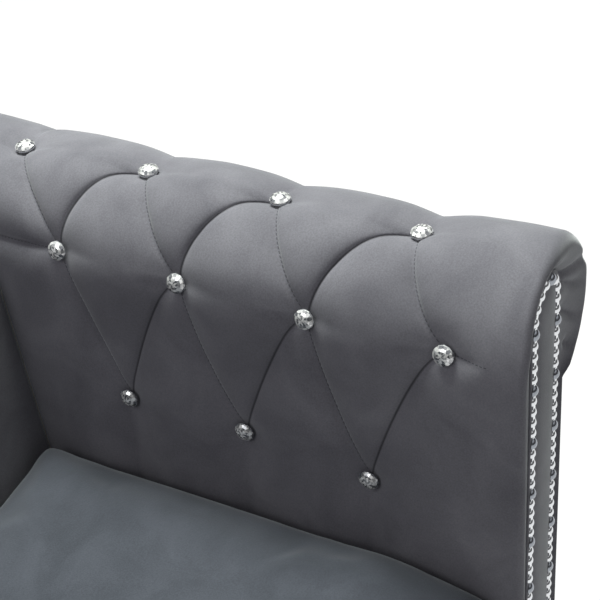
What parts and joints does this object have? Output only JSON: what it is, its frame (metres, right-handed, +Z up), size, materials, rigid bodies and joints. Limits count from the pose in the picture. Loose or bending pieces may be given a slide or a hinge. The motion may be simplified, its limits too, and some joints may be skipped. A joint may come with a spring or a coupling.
{
  "type": "chesterfield sofa",
  "caption": "Chesterfield sofa with rolled arms and back of equal height, diamond tufting with crystal buttons, nail-trimmed arm facings and loose lift-off seat cushions.",
  "frame": {"origin": "on the floor, under the middle of the sofa's box", "axes": "+X along the sofa to the viewer's right as seen from the front, +Y from the front to the back, +Z up"},
  "size_m": [2.1038, 0.7308, 0.7326],
  "materials": {
    "velvet": "grey cut-pile velvet",
    "foam": "open-cell upholstery foam",
    "frame_timber": "planed hardwood, unfinished",
    "plywood": "sawn plywood",
    "leg_wood": "dark stain, satin lacquer",
    "spring_steel": "drawn wire and strip",
    "webbing": "woven elastic webbing",
    "deck_cloth": "black decking cloth over felt",
    "dust_cloth": "black non-woven cloth",
    "crystal": "clear faceted crystal over a mirrored back",
    "button_metal": "bright plated cup",
    "nail_metal": "pewter-toned plated steel",
    "glide_plastic": "moulded"
  },
  "bodies": {
    "frame": {"arm_cover_left": "velvet", "arm_cover_right": "velvet", "arm_facing_left": "velvet", "arm_facing_right": "velvet", "arm_pad_left": "foam", "arm_pad_right": "foam", "arm_post_left": "frame_timber", "arm_post_right": "frame_timber", "arm_scroll_board_left": "plywood", "arm_scroll_board_right": "plywood", "arm_tack_rail_left": "frame_timber", "arm_tack_rail_right": "frame_timber", "arm_top_rail_left": "frame_timber", "arm_top_rail_right": "frame_timber", "back_cover": "velvet", "back_pad": "foam", "back_tack_rail": "frame_timber", "back_top_rail": "frame_timber", "back_uprights": "frame_timber", "back_webbing": "webbing", "button_cups": "button_metal", "corner_blocks": "frame_timber", "corner_post_left": "frame_timber", "corner_post_right": "frame_timber", "cross_rails": "frame_timber", "crystal_buttons_back": "crystal", "crystal_buttons_left": "crystal", "crystal_buttons_right": "crystal", "dust_cloth": "dust_cloth", "front_border": "velvet", "front_rail": "frame_timber", "hanger_bolts": "spring_steel", "leg_front_left": "leg_wood", "leg_front_right": "leg_wood", "leg_glides": "glide_plastic", "leg_middle_left": "leg_wood", "leg_middle_right": "leg_wood", "leg_plates": "spring_steel", "leg_rear_left": "leg_wood", "leg_rear_right": "leg_wood", "nail_strip_left": "nail_metal", "nail_strip_right": "nail_metal", "outside_arm_left": "velvet", "outside_arm_right": "velvet", "outside_back": "velvet", "rear_rail": "frame_timber", "seat_deck": "deck_cloth", "seat_springs": "spring_steel", "side_rail_left": "frame_timber", "side_rail_right": "frame_timber", "spring_clips": "spring_steel", "trim_nails_left": "nail_metal", "trim_nails_right": "nail_metal"},
    "cushion_left": {"seat_cushion_left": "velvet", "cushion_core_left": "foam"},
    "cushion_centre": {"seat_cushion_centre": "velvet", "cushion_core_centre": "foam"},
    "cushion_right": {"seat_cushion_right": "velvet", "cushion_core_right": "foam"}
  },
  "joints": [
    {"name": "cushion_left_lift", "type": "slide", "parent": "frame", "child": "cushion_left", "axis": [0, 0, 1], "range_m": [0, 0.35]},
    {"name": "cushion_centre_lift", "type": "slide", "parent": "frame", "child": "cushion_centre", "axis": [0, 0, 1], "range_m": [0, 0.35]},
    {"name": "cushion_right_lift", "type": "slide", "parent": "frame", "child": "cushion_right", "axis": [0, 0, 1], "range_m": [0, 0.35]}
  ]
}
